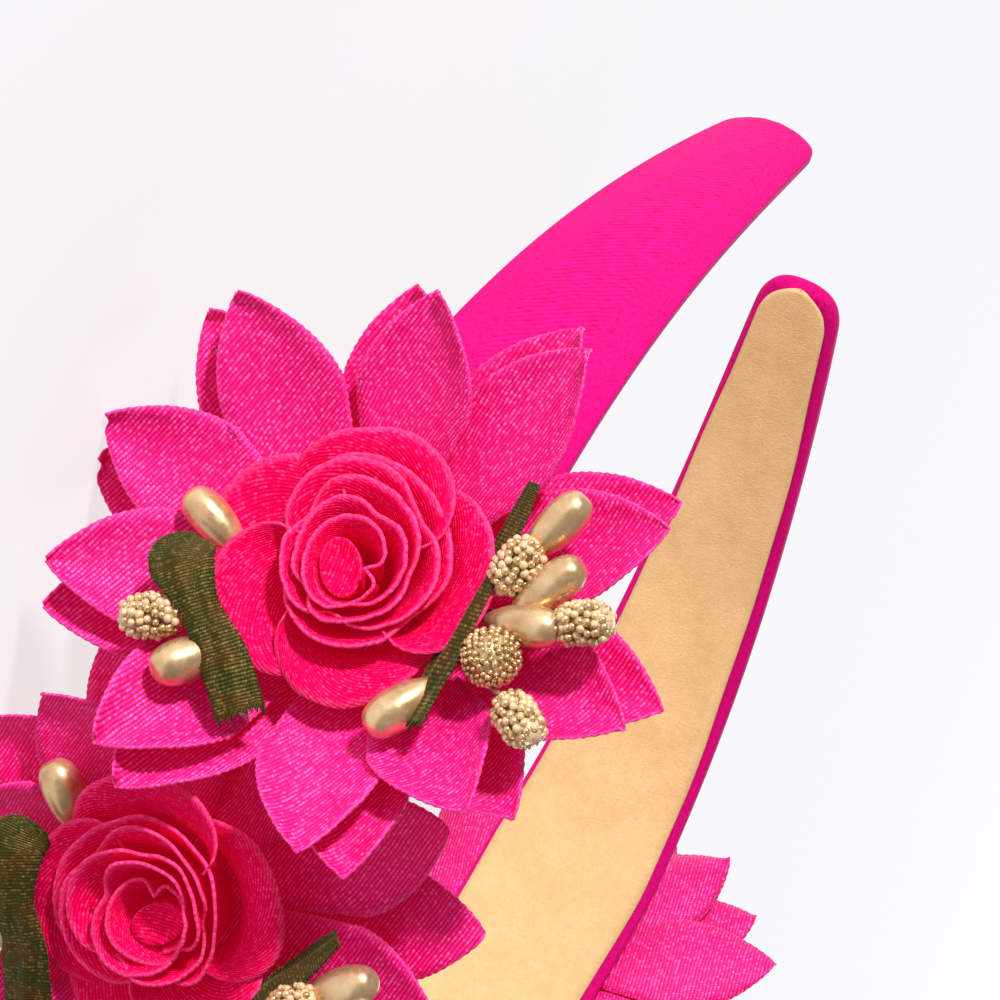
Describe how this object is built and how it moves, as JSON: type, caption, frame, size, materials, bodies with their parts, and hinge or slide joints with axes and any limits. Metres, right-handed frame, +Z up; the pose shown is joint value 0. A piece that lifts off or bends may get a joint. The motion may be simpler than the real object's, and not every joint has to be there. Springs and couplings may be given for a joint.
{
  "type": "flower headband",
  "caption": "Padded pink satin headband with a tan lining and a row of layered cloth flowers, each with pointed petals, a rolled rosette, ribbon leaves and gilt buds.",
  "frame": {"origin": "on the surface that the headband lies on, under the middle of its bounding box", "axes": "+X towards the arm that carries the first flower, +Y from the arms' tips towards the crown, +Z up, across the band's width"},
  "size_m": [0.166, 0.1702, 0.0671],
  "materials": {
    "band_satin": "matte magenta-pink satin, finely woven",
    "lining_suede": "tan brushed suede cloth",
    "petal_satin": "hot pink woven satin with diagonal ribs and cut edges",
    "leaf_ribbon": "dark green ribbed ribbon with a red-brown weft",
    "gilt_pips": "satin gilt, some set with pearl beads and glitter"
  },
  "bodies": {
    "root": {"band": "band_satin", "lining": "lining_suede", "petals_lower_1": "petal_satin", "petals_upper_1": "petal_satin", "rose_1": "petal_satin", "leaf_right_1": "leaf_ribbon", "leaf_left_1": "leaf_ribbon", "buds_right_1": "gilt_pips", "buds_left_1": "gilt_pips", "petals_lower_2": "petal_satin", "petals_upper_2": "petal_satin", "rose_2": "petal_satin", "leaf_right_2": "leaf_ribbon", "leaf_left_2": "leaf_ribbon", "buds_right_2": "gilt_pips", "buds_left_2": "gilt_pips", "petals_lower_3": "petal_satin", "petals_upper_3": "petal_satin", "rose_3": "petal_satin", "leaf_right_3": "leaf_ribbon", "leaf_left_3": "leaf_ribbon", "buds_right_3": "gilt_pips", "buds_left_3": "gilt_pips", "petals_lower_4": "petal_satin", "petals_upper_4": "petal_satin", "rose_4": "petal_satin", "leaf_right_4": "leaf_ribbon", "leaf_left_4": "leaf_ribbon", "buds_right_4": "gilt_pips", "buds_left_4": "gilt_pips", "petals_lower_5": "petal_satin", "petals_upper_5": "petal_satin", "rose_5": "petal_satin", "leaf_right_5": "leaf_ribbon", "leaf_left_5": "leaf_ribbon", "buds_right_5": "gilt_pips", "buds_left_5": "gilt_pips", "petals_lower_6": "petal_satin", "petals_upper_6": "petal_satin", "rose_6": "petal_satin", "leaf_right_6": "leaf_ribbon", "leaf_left_6": "leaf_ribbon", "buds_right_6": "gilt_pips", "buds_left_6": "gilt_pips"}
  },
  "joints": []
}
